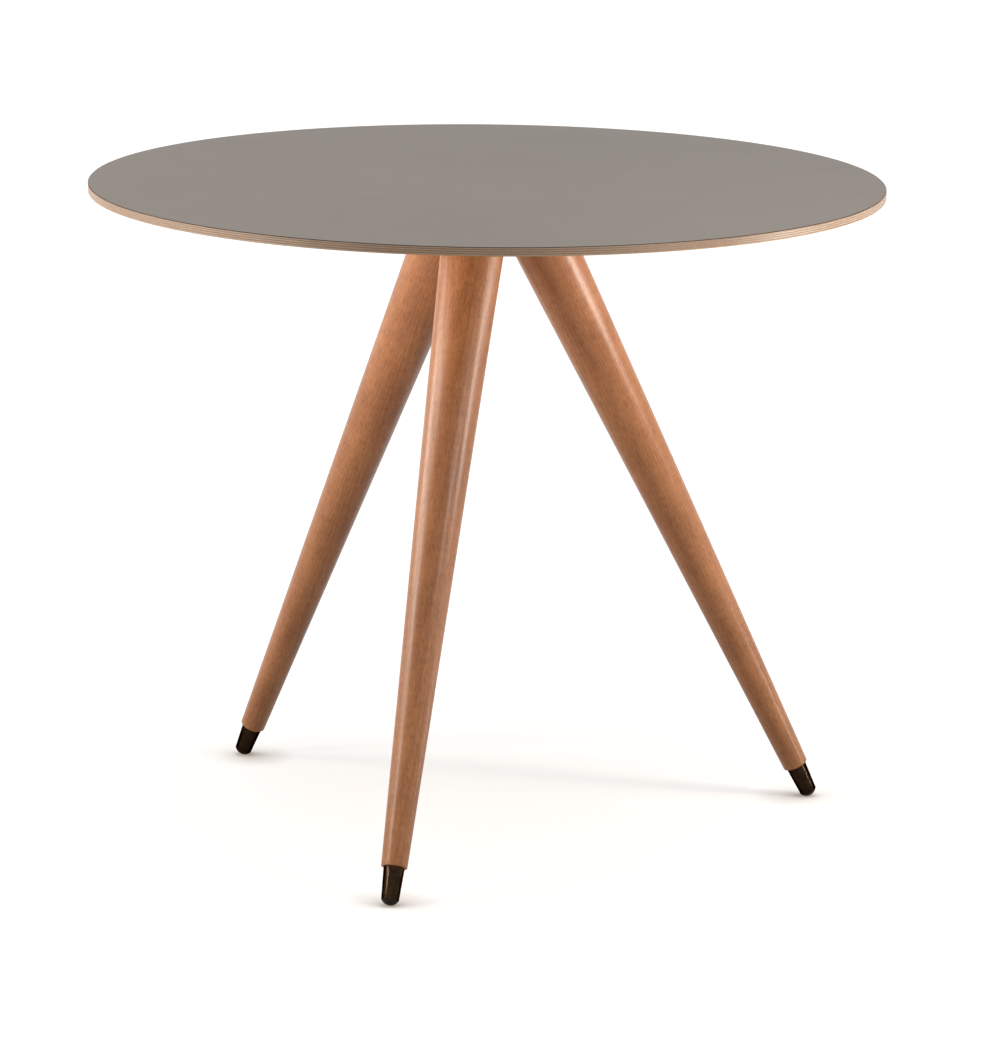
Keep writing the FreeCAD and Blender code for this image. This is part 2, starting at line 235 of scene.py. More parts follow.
def grow_tree(name, shape, values):
    """A tree that makes a shape, makes its copies real and puts the finish on."""
    desk, size = tree_with_inputs(name, values)
    made = desk.add("GeometryNodeRealizeInstances", {}, {"Geometry": shape(desk, size)})
    made = desk.add("GeometryNodeSetMaterial", {}, {"Geometry": made, "Material": size["Finish"]})
    desk.lead(made, desk.add("NodeGroupOutput").inputs["Geometry"])
    return desk.tree


def mesh_from_tree(name, tree, values):
    """Runs a tree once with these input values, and keeps what it makes as a plain mesh."""
    blank = new_object(name + "_blank", bpy.data.meshes.new(name + "_blank"))
    modifier = blank.modifiers.new("tree", "NODES")
    modifier.node_group = tree
    for item in tree.interface.items_tree:
        if item.in_out == "INPUT":
            modifier[item.identifier] = values[item.name]
    graph = bpy.context.evaluated_depsgraph_get()
    mesh = bpy.data.meshes.new_from_object(blank.evaluated_get(graph))
    bpy.data.objects.remove(blank)
    mesh.name = name
    return mesh


# %% [markdown]
# Most of the table is turned work: discs, tapered legs, tubes and domes. One kind of tree turns
# them all. It gets the corners of a half outline, rounds those that are broken or sanded on the
# real piece, and then bends a grid round the axis, with one column of points for each side.
# The corners are sums of named inputs, so each tree still shows the sizes of its own piece.

# %% A lathe made of nodes
ROUNDING_STEPS = 5
FULL_TURN = 2 * math.pi


def turned(desk, sides, corners):
    """The surface that corners of (radius, level, rounding) leave when they turn about Z."""
    points = [joined(desk, X=radius, Z=level) for radius, level, rounding in corners]
    line = desk.add("GeometryNodeMeshLine", {}, {"Count": len(corners)})
    places = pick(desk, "VECTOR", points)
    line = desk.add("GeometryNodeSetPosition", {}, {"Geometry": line, "Position": places})
    rounded = desk.add(
        "GeometryNodeFilletCurve",
        {"mode": "POLY"},
        {
            "Curve": desk.add("GeometryNodeMeshToCurve", {}, {"Mesh": line}),
            "Count": ROUNDING_STEPS,
            "Radius": pick(desk, "FLOAT", [rounding for radius, level, rounding in corners]),
            "Limit Radius": True,
        },
    )
    outline = desk.add("GeometryNodeCurveToMesh", {}, {"Curve": rounded})
    rows = desk.add("GeometryNodeAttributeDomainSize", {}, {"Geometry": outline}, "Point Count")
    sockets = {"Size X": 1.0, "Size Y": 1.0, "Vertices X": sides + 1, "Vertices Y": rows}
    grid = desk.add("GeometryNodeMeshGrid", {}, sockets)
    place = desk.add("GeometryNodeInputPosition")
    across = split(desk, place)
    row = desk.sum("ROUND", (across.out("Y") + 0.5) * (rows - 1))
    sockets = {"Geometry": outline, "Value": place, "Index": row}
    found = desk.add("GeometryNodeSampleIndex", {"data_type": "FLOAT_VECTOR"}, sockets)
    found = split(desk, found)
    angle = (across.out("X") + 0.5) * FULL_TURN
    radius = found.out("X")
    bent = joined(
        desk,
        X=radius * desk.sum("COSINE", angle),
        Y=radius * desk.sum("SINE", angle),
        Z=found.out("Z"),
    )
    return desk.add("GeometryNodeSetPosition", {}, {"Geometry": grid, "Position": bent})


# %% [markdown]
# The lathe leaves a seam where the grid meets itself, and a pole where the outline touches the
# axis. Both are welded, so that every piece is closed, and then the piece joins the frame.

# %% From a mesh to a piece
WELD_DISTANCE = 0.002 * MM
SHARP_ANGLE = math.radians(32)


def clean(mesh):
    """Welds the seam and the poles, points every face outwards and keeps crisp edges crisp."""
    work = bmesh.new()
    work.from_mesh(mesh)
    bmesh.ops.remove_doubles(work, verts=work.verts, dist=WELD_DISTANCE)
    bmesh.ops.dissolve_degenerate(work, edges=work.edges, dist=WELD_DISTANCE)
    bmesh.ops.recalc_face_normals(work, faces=work.faces)
    work.to_mesh(mesh)
    work.free()
    mesh.shade_smooth()
    mesh.set_sharp_from_angle(angle=SHARP_ANGLE)
    return mesh


def open_edges(mesh):
    """How many edges don't join exactly two faces: none on a closed piece."""
    work = bmesh.new()
    work.from_mesh(mesh)
    count = sum(not edge.is_manifold for edge in work.edges)
    work.free()
    return count


def piece(name, mesh, replaced):
    """Puts a finished mesh in the scene, in place of the solids that it stands for."""
    made = new_object(name, mesh)
    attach(made, "root")
    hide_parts(*replaced)
    print(f"{name}: {len(mesh.polygons)} faces, {open_edges(mesh)} open edges")


def upright_piece(name, shape, values, replaced):
    """A piece that stands upright as the lathe made it."""
    mesh = mesh_from_tree(name, grow_tree(name, shape, values), values)
    piece(name, clean(mesh), replaced)


# %% [markdown]
# Colours are written as they look, as red, green and blue from 0 to 255, and turned into the
# light values that the shader needs. Each finish starts from the same surface shader. What is
# alike all over is set on its own sockets, and only what changes over the surface is wired.

# %% Colours and finishes
BYTE = 255
DARK_LIMIT = 0.04045
DARK_SLOPE = 12.92
CURVE_OFFSET = 0.055
CURVE_POWER = 2.4


def colour(red, green, blue):
    """A colour as it looks, as the amounts of light that it stands for."""
    parts = []
    for part in (red, green, blue):
        share = part / BYTE
        light = ((share + CURVE_OFFSET) / (1 + CURVE_OFFSET)) ** CURVE_POWER
        parts.append(share / DARK_SLOPE if share <= DARK_LIMIT else light)
    return (*parts, 1.0)


def new_finish(name, **constants):
    """A material and the desk to wire it on."""
    material = bpy.data.materials.new(name)
    material.use_nodes = True
    desk = Desk(material.node_tree)
    surface = material.node_tree.nodes["Principled BSDF"]
    for socket, value in constants.items():
        surface.inputs[socket.replace("_", " ")].default_value = value
    return material, desk


def dressed(material, desk, base, roughness, normal):
    """The material, with all that changes over the surface led to its shader."""
    surface = material.node_tree.nodes["Principled BSDF"]
    desk.lead(base, surface.inputs["Base Color"])
    desk.lead(roughness, surface.inputs["Roughness"])
    desk.lead(normal, surface.inputs["Normal"])
    return material


# %% [markdown]
# Every pattern reads the place on the piece itself, so it stays put when the piece is moved. Soft
# noise, faded into a mask, then mixes two colours or lifts a relief that is too fine to model.

# %% Patterns
MIX_FIRST = 6
MIX_SECOND = 7
MIX_RESULT = 2


def laid_out(desk, matrix=Matrix.Identity(4)):
    """Places on the piece, as seen from where the matrix puts the pattern."""
    place = desk.add("ShaderNodeTexCoord").out("Object")
    turn = tuple(matrix.to_euler())
    return desk.add(
        "ShaderNodeMapping",
        {"vector_type": "TEXTURE"},
        {"Vector": place, "Location": tuple(matrix.translation), "Rotation": turn},
    )


def noise(desk, place, scale, detail=2.0, roughness=0.5, across=1.0, along=1.0):
    """Soft spots, so many to a metre. A factor below 1 draws them out, one above 1 squeezes."""
    if (across, along) != (1.0, 1.0):
        factors = (across, across, along)
        place = desk.add("ShaderNodeVectorMath", {"operation": "MULTIPLY"}, {0: place, 1: factors})
    sockets = {"Vector": place, "Scale": scale, "Detail": detail, "Roughness": roughness}
    return desk.add("ShaderNodeTexNoise", {}, sockets)


def fade(desk, value, start, end):
    """0 before start and 1 after end, with a soft change between them."""
    sockets = {"Value": value, "From Min": start, "From Max": end}
    return desk.add("ShaderNodeMapRange", {"interpolation_type": "SMOOTHSTEP"}, sockets)


def mix(desk, share, first, second):
    """A colour between two colours."""
    sockets = {0: share, MIX_FIRST: first, MIX_SECOND: second}
    return desk.add("ShaderNodeMix", {"data_type": "RGBA"}, sockets, MIX_RESULT)


def bumped(desk, height, depth, strength=1.0):
    """A normal that follows a small relief, with its depth in metres."""
    return desk.add("ShaderNodeBump", {}, {"Height": height, "Distance": depth, "Strength": strength})


def from_the_middle(desk, part):
    """The distance of a place from the table's upright axis."""
    return desk.sum("SQRT", part.out("X") * part.out("X") + part.out("Y") * part.out("Y"))


# %% [markdown]
# The face of the top is a matt laminate in a warm grey. Its decorative sheet is very thin, over
# a core of dark resin-soaked paper, and that core shows as a fine dark line where the edge is
# bevelled. The face isn't one flat grey: it has a barely visible cloudiness and a fine grain that
# breaks up reflections. The line is a mask on the distance from the middle, worn a little.

# %% Laminate finish
LAMINATE_BEVEL = 0.6 * MM
LAMINATE_RELIEF = 0.01 * MM
CORE_LINE_SHARE = 0.8
CORE_LINE_START = TOP_RADIUS - LAMINATE_BEVEL
CORE_LINE_FULL = TOP_RADIUS - CORE_LINE_SHARE * LAMINATE_BEVEL
CORE_LINE_WEAR = 0.12 * MM
FACE_GREY_LIGHT = colour(154, 147, 141)
FACE_GREY_DARK = colour(149, 142, 136)
CORE_BROWN = colour(84, 70, 58)


def laminate_finish():
    material, desk = new_finish("matt_laminate", Specular_IOR_Level=0.15)
    place = laid_out(desk)
    clouds = noise(desk, place, 3.1, 3.0, 0.55)
    grain = noise(desk, place, 2600.0)
    share = fade(desk, clouds, 0.25, 0.75) * 0.8 + grain * 0.2
    face = mix(desk, share, FACE_GREY_DARK, FACE_GREY_LIGHT)
    distance = from_the_middle(desk, split(desk, place))
    wear = noise(desk, place, 90.0, 3.0) * CORE_LINE_WEAR
    core = fade(desk, distance + wear, CORE_LINE_START, CORE_LINE_FULL)
    base = mix(desk, core, face, CORE_BROWN)
    roughness = 0.60 + noise(desk, place, 11.0, 4.0, 0.6) * 0.10 + core * 0.08
    return dressed(material, desk, base, roughness, bumped(desk, grain, LAMINATE_RELIEF, 0.35))


LAMINATE = laminate_finish()
print("finish:", LAMINATE.name)

# %% [markdown]
# The core of the top is plywood: seven beech veneers, each laid across the one above. Where the
# saw meets a veneer along its grain, its edge is pale and streaked. Where the saw cuts the grain
# across, the open ends of the fibres drink the lacquer and look darker. So each ply is pale in two
# places round the rim and dark in the two between them, and its neighbours the other way round.
# The share of end grain at a place comes from the cosine of the angle between the grain and the
# rim's own direction outwards, and the streaks are a noise that is squeezed in height.

# %% Plywood edge finish
PLY_PALE = colour(198, 175, 155)
PLY_PALE_STREAK = colour(180, 153, 130)
PLY_END = colour(161, 134, 112)
PLY_END_PORE = colour(126, 98, 77)
PLY_STREAK_SQUEEZE = 26.0
PLY_RELIEF = 0.04 * MM


def ply_finish(name, grain_azimuth):
    material, desk = new_finish(name, Specular_IOR_Level=0.4)
    place = laid_out(desk)
    part = split(desk, place)
    along = part.out("X") * math.cos(grain_azimuth) + part.out("Y") * math.sin(grain_azimuth)
    cosine = desk.sum("ABSOLUTE", along / from_the_middle(desk, part))
    end_share = fade(desk, cosine, 0.35, 0.85)
    fibres = noise(desk, place, 95.0, 4.0, 0.65, along=PLY_STREAK_SQUEEZE)
    lengths = noise(desk, place, 24.0, 3.0)
    pale = mix(desk, fade(desk, fibres * 0.7 + lengths * 0.3, 0.38, 0.62), PLY_PALE_STREAK, PLY_PALE)
    pores = noise(desk, place, 1500.0, 2.0, 0.6)
    dark = mix(desk, fade(desk, pores, 0.46, 0.62), PLY_END, PLY_END_PORE)
    base = mix(desk, end_share, pale, dark)
    roughness = 0.34 + pores * 0.10 + end_share * 0.06
    relief = fibres * 0.5 + pores * end_share * 0.5
    return dressed(material, desk, base, roughness, bumped(desk, relief, PLY_RELIEF, 0.5))


ODD_PLIES = ply_finish("edge_of_odd_plies", 0.0)
EVEN_PLIES = ply_finish("edge_of_even_plies", math.pi / 2)
print("finishes:", ODD_PLIES.name, EVEN_PLIES.name)

# %% [markdown]
# The laminate is one thin disc with a small bevel round its upper edge. On a disc as wide as
# this, few sides would show as flats along the rim, so it gets a side for every half degree.

# %% Laminate sheet
RIM_SIDES = 720
SANDED = 0.12 * MM
UNBROKEN = 0.02 * MM


def flat_sheet(desk, size):
    """A flat disc, with a bevel above and a bevel below."""
    rim = size["Radius"]
    low = size["Level"]
    top = low + size["Thickness"]
    corners = [
        (0.0, low, 0.0),
        (rim - size["Lower Bevel"], low, size["Softness"]),
        (rim, low + size["Lower Bevel"], size["Softness"]),
        (rim, top - size["Upper Bevel"], size["Softness"]),
        (rim - size["Upper Bevel"], top, size["Softness"]),
        (0.0, top, 0.0),
    ]
    return turned(desk, size["Sides"], corners)


def laminate_sheet():
    values = {
        "Radius": TOP_RADIUS,
        "Level": TOP_LEVEL - LAMINATE_THICKNESS,
        "Thickness": LAMINATE_THICKNESS,
        "Upper Bevel": LAMINATE_BEVEL,
        "Lower Bevel": UNBROKEN,
        "Softness": SANDED,
        "Sides": RIM_SIDES,
        "Finish": LAMINATE,
    }
    upright_piece("laminate_sheet", flat_sheet, values, ["top_laminate"])


laminate_sheet()

# %% [markdown]
# The seven plies are one disc, set one above the other. Every second ply has its grain the same
# way, so the odd plies make one stack and the even ones another: a line of points with one disc
# on each. Their edges are sanded a hair round, which leaves the fine glue lines between them.

# %% Ply stacks
PLY_COUNT = 7
GLUE_LINE = 0.1 * MM


def stacked_discs(desk, size):
    """Thin discs with sanded edges, one above the other."""
    rim = size["Radius"]
    top = size["Thickness"]
    corners = [
        (0.0, 0.0, 0.0),
        (rim, 0.0, size["Softness"]),
        (rim, top, size["Softness"]),
        (0.0, top, 0.0),
    ]
    disc = turned(desk, size["Sides"], corners)
    start = joined(desk, Z=size["Lowest Level"])
    step = joined(desk, Z=size["Spacing"])
    sockets = {"Count": size["Discs"], "Start Location": start, "Offset": step}
    places = desk.add("GeometryNodeMeshLine", {}, sockets)
    return desk.add("GeometryNodeInstanceOnPoints", {}, {"Points": places, "Instance": disc})


def ply_stack(name, numbers, finish):
    nodes = [f"core_ply_{number}" for number in numbers]
    values = {
        "Radius": TOP_RADIUS,
        "Thickness": PLY_THICKNESS,
        "Softness": GLUE_LINE,
        "Lowest Level": min(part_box(node)[0].z for node in nodes),
        "Spacing": 2 * PLY_THICKNESS,
        "Sides": RIM_SIDES,
        "Discs": len(nodes),
        "Finish": finish,
    }
    upright_piece(name, stacked_discs, values, nodes)


ply_stack("odd_plies", range(1, PLY_COUNT + 1, 2), ODD_PLIES)
ply_stack("even_plies", range(2, PLY_COUNT, 2), EVEN_PLIES)

# %% [markdown]
# The underside of the top is faced with one more beech veneer, with a clear lacquer. Beech is
# known by its short brown flecks, and on a sliced veneer they lie all along the grain, over wide
# and hardly visible bands. Its lower edge is broken by a small bevel, which shows as a light line
# below the plies.

# %% Beech veneer finish
VENEER_PALE = colour(205, 170, 133)
VENEER_WARM = colour(190, 150, 112)
VENEER_FLECK = colour(150, 104, 70)
VENEER_RELIEF = 0.02 * MM
FLECK_SHARE = 0.6


def beech(desk, place, pale, warm, fleck):
    """The colour of beech with its grain along Z, and the masks of its fibres and flecks."""
    bands = noise(desk, place, 60.0, 3.0, 0.55, along=0.05)
    fibres = noise(desk, place, 1100.0, 3.0, 0.6, along=0.03)
    flecks = noise(desk, place, 1400.0, 2.0, 0.5, along=0.11)
    flecked = fade(desk, flecks, 0.60, 0.70)
    ground = mix(desk, fade(desk, bands * 0.6 + fibres * 0.4, 0.36, 0.64), warm, pale)
    return mix(desk, flecked * FLECK_SHARE, ground, fleck), fibres, flecked


def veneer_finish():
    material, desk = new_finish("lacquered_veneer", Specular_IOR_Level=0.4)
    place = laid_out(desk, Matrix.Rotation(math.pi / 2, 4, "Y"))
    ground, fibres, flecked = beech(desk, place, VENEER_PALE, VENEER_WARM, VENEER_FLECK)
    normal = bumped(desk, fibres - flecked * 0.5, VENEER_RELIEF, 0.5)
    return dressed(material, desk, ground, 0.40 + fibres * 0.12, normal)


VENEER = veneer_finish()
print("finish:", VENEER.name)

# %% [markdown]
# The veneer is a sheet like the laminate, on the same lathe. Here the bevel is on the lower edge,
# where a cabinet maker breaks it so that it won't splinter.

# %% Backing veneer
BACKING_BEVEL = 0.5 * MM


def backing_sheet():
    values = {
        "Radius": TOP_RADIUS,
        "Level": PANEL_UNDERSIDE,
        "Thickness": BACKING_THICKNESS,
        "Upper Bevel": UNBROKEN,
        "Lower Bevel": BACKING_BEVEL,
        "Softness": GLUE_LINE,
        "Sides": RIM_SIDES,
        "Finish": VENEER,
    }
    upright_piece("backing_sheet", flat_sheet, values, ["backing_veneer"])


backing_sheet()

# %% [markdown]
# The legs lean outwards by the same angle, a third of a turn apart. Everything on a leg is made
# along an upright axis first, counted from the centre of the ball that the domed foot is part of.
# One matrix for each leg then leans it, moves it out and turns it round to its place.

# %% Places of the legs
LEG_PLACES = ("front", "right", "left")
FRONT_AZIMUTH = -math.pi / 2
LEG_SPLAY = math.radians(26.6)
LEG_HEAD_RADIUS = 36.5 * MM
LEG_HEAD_GAP = 9.0 * MM
LEG_FOOT_RADIUS = 14.5 * MM
LEG_FOOT_ROUNDING = 1.3 * MM
FERRULE_LENGTH = 36.5 * MM
FERRULE_FOOT_RADIUS = 9.8 * MM
GLIDE_REVEAL = 0.3 * MM
DOME_HEIGHT = 5.5 * MM
PLUG_LENGTH = 5.0 * MM
FERRULE_BORE_RADIUS = 8.0 * MM
GLUE_GAP = 0.1 * MM

NEIGHBOUR_ANGLE = math.pi / len(LEG_PLACES)
DOME_RIM_RADIUS = FERRULE_FOOT_RADIUS - GLIDE_REVEAL
BALL_RADIUS = (DOME_RIM_RADIUS**2 + DOME_HEIGHT**2) / (2 * DOME_HEIGHT)
FERRULE_START = DOME_HEIGHT - BALL_RADIUS
FERRULE_END = FERRULE_START + FERRULE_LENGTH
HEAD_PLACE = (HUB_UNDERSIDE - BALL_RADIUS) / math.cos(LEG_SPLAY)
HEAD_HALF_LENGTH = LEG_HEAD_RADIUS / math.cos(LEG_SPLAY)
HEAD_HALF_WIDTH = math.hypot(
    HEAD_HALF_LENGTH * math.sin(NEIGHBOUR_ANGLE), LEG_HEAD_RADIUS * math.cos(NEIGHBOUR_ANGLE)
)
HEAD_REACH = (HEAD_HALF_WIDTH + LEG_HEAD_GAP / 2) / math.sin(NEIGHBOUR_ANGLE)
FOOT_REACH = HEAD_REACH + HEAD_PLACE * math.sin(LEG_SPLAY)


def leg_matrix(number):
    round_the_table = FRONT_AZIMUTH + number * 2 * NEIGHBOUR_ANGLE
    return (
        Matrix.Rotation(round_the_table, 4, "Z")
        @ Matrix.Translation((FOOT_REACH, 0.0, BALL_RADIUS))
        @ Matrix.Rotation(-LEG_SPLAY, 4, "Y")
    )


def meshes_on_legs(name, shape, values, finishes):
    """A mesh for each leg: one tree makes them all upright, and each is then put in its place."""
    tree = grow_tree(name, shape, {**values, "Finish": finishes[0]})
    for number, place in enumerate(LEG_PLACES):
        mesh = mesh_from_tree(f"{name}_{place}", tree, {**values, "Finish": finishes[number]})
        mesh.transform(leg_matrix(number))
        yield place, mesh


print(f"feet {FOOT_REACH:.4f} m from the middle, heads {HEAD_REACH:.4f} m")

# %% [markdown]
# The legs are solid beech, stained brown and then lacquered to a satin gloss. Stain shows what
# bare beech hides: the short flecks turn dark, the growth rings draw long soft lines, and the
# wood takes up the stain unevenly, in blotches. The pattern is laid out in the leg's own axes, so
# the lines run down each leg, and each leg reads another part of it.

# %% Stained beech finish
STAIN_LIGHT = colour(188, 128, 84)
STAIN_DARK = colour(155, 99, 61)
STAIN_FLECK = colour(114, 69, 42)
# The paler stain of the painted glints: specks of painted highlight on the lacquer.
STAIN_PAINTED_GLINT = colour(204, 148, 104)
STAIN_RELIEF = 0.012 * MM
RING_SPACING = 3.4 * MM
RING_WANDER = 14.0 * MM
PATTERN_STEP = Vector((0.031, 0.017, 0.9))


def stained_finish(number):
    material, desk = new_finish(f"stained_leg_{number + 1}", Specular_IOR_Level=0.42)
    place = laid_out(desk, leg_matrix(number) @ Matrix.Translation(number * PATTERN_STEP))
    wander = noise(desk, place, 22.0, 2.0, along=0.12)
    wandered = split(desk, place).out("X") + wander * RING_WANDER
    rings = desk.sum("SINE", wandered * (FULL_TURN / RING_SPACING))
    blotches = noise(desk, place, 34.0, 4.0, 0.6, along=0.4)
    waves = noise(desk, place, 150.0, 2.0, across=0.3)
    fibres = noise(desk, place, 800.0, 3.0, 0.6, along=0.03)
    flecks = noise(desk, place, 700.0, 2.0, 0.5, along=0.2)
    flecked = fade(desk, flecks, 0.56, 0.68)
    # Painted glints: where the fleck noise is low, small specks are painted in a paler stain, standing
    # in for points of light caught by the lacquer.
    painted_glints = 1 - fade(desk, flecks, 0.34, 0.44)
    share = blotches * 0.45 + waves * 0.2 + fibres * 0.3 + rings * 0.04
    ground = mix(desk, fade(desk, share, 0.28, 0.66), STAIN_DARK, STAIN_LIGHT)
    ground = mix(desk, painted_glints * 0.25, ground, STAIN_PAINTED_GLINT)
    base = mix(desk, flecked * 0.42, ground, STAIN_FLECK)
    roughness = 0.29 + blotches * 0.08 + fibres * 0.04
    normal = bumped(desk, fibres - flecked * 0.4, STAIN_RELIEF, 0.5)
    return dressed(material, desk, base, roughness, normal)


STAINED = [stained_finish(number) for number in range(len(LEG_PLACES))]
print("finishes:", [finish.name for finish in STAINED])

# %% [markdown]
# A leg is a turned cone from a wide head to a slim foot. Below its shoulder, which is rounded a
# little, a thinner spigot goes down into the brass tube, as far as the plug of the glide. The lathe
# makes the leg longer than it will be, because its head is cut level right under the hub after the
# leg has been leaned.

# %% Legs
LEG_SIDES = 128
SPIGOT_RADIUS = FERRULE_BORE_RADIUS - GLUE_GAP
SPIGOT_START = FERRULE_START + PLUG_LENGTH
CUT_LENGTH = 60.0 * MM
SPIGOT_ROUNDING_SHARE = 0.4


def tapered_leg(desk, size):
    """A leg with a spigot at its foot, longer than it will be."""
    taper = (size["Head Radius"] - size["Foot Radius"]) / (size["Head Place"] - size["Shoulder"])
    end = size["Head Place"] + size["Spare Length"]
    end_radius = size["Head Radius"] + taper * size["Spare Length"]
    corners = [
        (0.0, size["Spigot Start"], 0.0),
        (size["Spigot Radius"], size["Spigot Start"], size["Spigot Rounding"]),
        (size["Spigot Radius"], size["Shoulder"], 0.0),
        (size["Foot Radius"], size["Shoulder"], size["Foot Rounding"]),
        (end_radius, end, 0.0),
        (0.0, end, 0.0),
    ]
    return turned(desk, size["Sides"], corners)


def cut_level(mesh, level):
    """Cuts away what stands above a level and closes the cut with a flat face."""
    work = bmesh.new()
    work.from_mesh(mesh)
    everything = [*work.verts, *work.edges, *work.faces]
    cut = bmesh.ops.bisect_plane(
        work, geom=everything, plane_co=(0, 0, level), plane_no=(0, 0, 1), clear_outer=True
    )
    rim = [item for item in cut["geom_cut"] if isinstance(item, bmesh.types.BMEdge)]
    bmesh.ops.contextual_create(work, geom=rim)
    work.to_mesh(mesh)
    work.free()


def make_legs():
    values = {
        "Spigot Radius": SPIGOT_RADIUS,
        "Spigot Start": SPIGOT_START,
        "Spigot Rounding": LEG_FOOT_ROUNDING * SPIGOT_ROUNDING_SHARE,
        "Shoulder": FERRULE_END,
        "Foot Radius": LEG_FOOT_RADIUS,
        "Foot Rounding": LEG_FOOT_ROUNDING,
        "Head Radius": LEG_HEAD_RADIUS,
        "Head Place": HEAD_PLACE,
        "Spare Length": CUT_LENGTH,
        "Sides": LEG_SIDES,
    }
    for place, mesh in meshes_on_legs("turned_leg", tapered_leg, values, STAINED):
        cut_level(mesh, HUB_UNDERSIDE)
        piece(f"turned_leg_{place}", clean(mesh), [f"leg_{place}"])


make_legs()

# %% [markdown]
# Each foot ends in a short tapered tube of brass. It is bronzed: treated until it is almost black,
# then waxed, so that a lamp still draws a narrow gold line down it. So the shader's metal is very
# dark and smooth, and its edge tint is dark too, or the tube would turn pale along its outline.
# Fine grooves from the lathe run round it, and the patina is a little uneven.

# %% Bronzed brass finish
BRONZE_DARK = colour(36, 27, 22)
BRONZE_LIGHT = colour(56, 41, 27)
BRONZE_EDGE_TINT = (0.10, 0.07, 0.045, 1.0)
TURNING_SPACING = 0.4 * MM
TURNING_DEPTH = 0.004 * MM


def bronze_finish(number):
    material, desk = new_finish(
        f"bronzed_tube_{number + 1}", Metallic=1.0, Specular_Tint=BRONZE_EDGE_TINT
    )
    place = laid_out(desk, leg_matrix(number))
    patina = noise(desk, place, 170.0, 4.0, 0.6)
    lines = noise(desk, place, 5000.0, 2.0, across=0.05)
    ground = mix(desk, fade(desk, patina * 0.7 + lines * 0.3, 0.35, 0.65), BRONZE_DARK, BRONZE_LIGHT)
    roughness = 0.12 + patina * 0.05 + lines * 0.03
    along = split(desk, place).out("Z")
    grooves = desk.sum("SINE", along * (FULL_TURN / TURNING_SPACING) + lines * 4.0)
    return dressed(material, desk, ground, roughness, bumped(desk, grooves, TURNING_DEPTH))


BRONZED = [bronze_finish(number) for number in range(len(LEG_PLACES))]
print("finishes:", [finish.name for finish in BRONZED])

# %% [markdown]
# A tube is a short cone outside and a straight bore inside, which the leg's spigot fits. Both its
# ends are broken by a small rounding. Its outline is a closed loop, so the lathe makes it hollow.

# %% Brass tubes
FOOT_SIDES = 96
FERRULE_HEAD_RADIUS = 11.7 * MM
FERRULE_EDGE = 0.45 * MM


def tapered_tube(desk, size):
    corners = [
        (size["Bore Radius"], size["Start"], 0.0),
        (size["Foot Radius"], size["Start"], size["Edge"]),
        (size["Head Radius"], size["End"], size["Edge"]),
        (size["Bore Radius"], size["End"], 0.0),
        (size["Bore Radius"], size["Start"], 0.0),
    ]
    return turned(desk, size["Sides"], corners)


def make_tubes():
    values = {
        "Bore Radius": FERRULE_BORE_RADIUS,
        "Foot Radius": FERRULE_FOOT_RADIUS,
        "Head Radius": FERRULE_HEAD_RADIUS,
        "Start": FERRULE_START,
        "End": FERRULE_END,
        "Edge": FERRULE_EDGE,
        "Sides": FOOT_SIDES,
    }
    for place, mesh in meshes_on_legs("brass_tube", tapered_tube, values, BRONZED):
        piece(f"brass_tube_{place}", clean(mesh), [f"ferrule_{place}"])


make_tubes()

# %% [markdown]
# A dark nylon glide closes each tube. Nylon has a soft, waxy gloss, and the spot that touches the
# floor is scuffed dull: a mask on the height above the floor, with a mottled upper limit.

# %% Nylon finish
NYLON_DARK = colour(27, 19, 15)
NYLON_WORN = colour(48, 38, 32)
NYLON_RELIEF = 0.01 * MM
SCUFF_LOW = 0.48 * MM
SCUFF_HIGH = 1.2 * MM
SCUFF_MOTTLE = 0.6 * MM


def nylon_finish():
    material, desk = new_finish("dark_glide_nylon", Specular_IOR_Level=0.25)
    place = laid_out(desk)
    height = split(desk, place).out("Z")
    mottle = noise(desk, place, 600.0, 3.0, 0.6)
    scuff = 1 - fade(desk, height + mottle * SCUFF_MOTTLE, SCUFF_LOW, SCUFF_HIGH)
    ground = mix(desk, scuff * 0.7 + mottle * 0.15, NYLON_DARK, NYLON_WORN)
    roughness = 0.30 + scuff * 0.30 + mottle * 0.06
    return dressed(material, desk, ground, roughness, bumped(desk, mottle, NYLON_RELIEF, 0.4))


NYLON = nylon_finish()
print("finish:", NYLON.name)

# %% [markdown]
# What shows of a glide is a low dome, part of a ball, so that the tilted foot still stands on one
# round spot. Its plug sits in the tube. The dome's outline is drawn point by point from the ball's
# radius and the angle to the dome's rim, and the ball's centre is the zero of the leg's own axis.

# %% Glides
DOME_STEPS = 12
DOME_EDGE = 0.15 * MM
PLUG_RADIUS = FERRULE_BORE_RADIUS - GLUE_GAP


def domed_glide(desk, size):
    corners = []
    for step in range(DOME_STEPS + 1):
        angle = size["Dome Angle"] * (step / DOME_STEPS)
        radius = size["Ball Radius"] * desk.sum("SINE", angle)
        level = 0 - size["Ball Radius"] * desk.sum("COSINE", angle)
        corners.append((radius, level, size["Edge"] if step == DOME_STEPS else 0.0))
    rim_level = corners[-1][1]
    corners.append((size["Plug Radius"], rim_level, 0.0))
    corners.append((size["Plug Radius"], rim_level + size["Plug Length"], 0.0))
    corners.append((0.0, rim_level + size["Plug Length"], 0.0))
    return turned(desk, size["Sides"], corners)


def make_glides():
    values = {
        "Ball Radius": BALL_RADIUS,
        "Dome Angle": math.atan2(DOME_RIM_RADIUS, -FERRULE_START),
        "Plug Radius": PLUG_RADIUS,
        "Plug Length": PLUG_LENGTH,
        "Edge": DOME_EDGE,
        "Sides": FOOT_SIDES,
    }
    finishes = [NYLON] * len(LEG_PLACES)
    for place, mesh in meshes_on_legs("domed_glide", domed_glide, values, finishes):
        piece(f"domed_glide_{place}", clean(mesh), [f"glide_{place}"])


make_glides()

# %% [markdown]
# The hub is a thick plywood disc under the middle, bored for the bolts and dowels. Its solid has
# the right shape, so it stays and only gets a finish. On the flat faces that is beech veneer. On
# the slope and the edge the plies come to the surface, and each level of the disc picks its ply:
# the height over the ply's thickness, and whether that number is odd or even.

